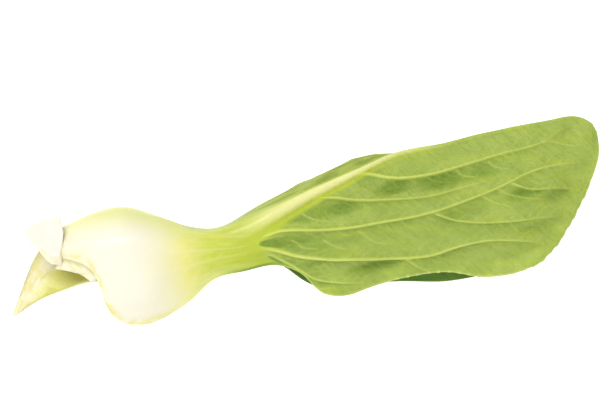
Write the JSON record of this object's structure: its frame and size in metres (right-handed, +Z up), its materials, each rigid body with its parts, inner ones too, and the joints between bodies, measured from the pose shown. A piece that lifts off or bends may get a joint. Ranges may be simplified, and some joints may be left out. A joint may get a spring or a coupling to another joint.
{
  "type": "bok choy leaf",
  "caption": "Loose bok choy leaf folded along its midrib, with a swollen pale stalk, a narrow neck and a veined green blade, lying on its side.",
  "frame": {"origin": "centre of the base of the leaf's bounding box, on the surface it lies on", "axes": "+X runs along the leaf from the torn base to the tip of the blade, +Y points from the open edges towards the folded midrib, +Z is up"},
  "size_m": [0.1772, 0.0628, 0.0289],
  "materials": {
    "leaf": "waxy leaf, cream stalk running into yellow-green and green"
  },
  "bodies": {
    "root": {"leaf": "leaf"}
  },
  "joints": []
}
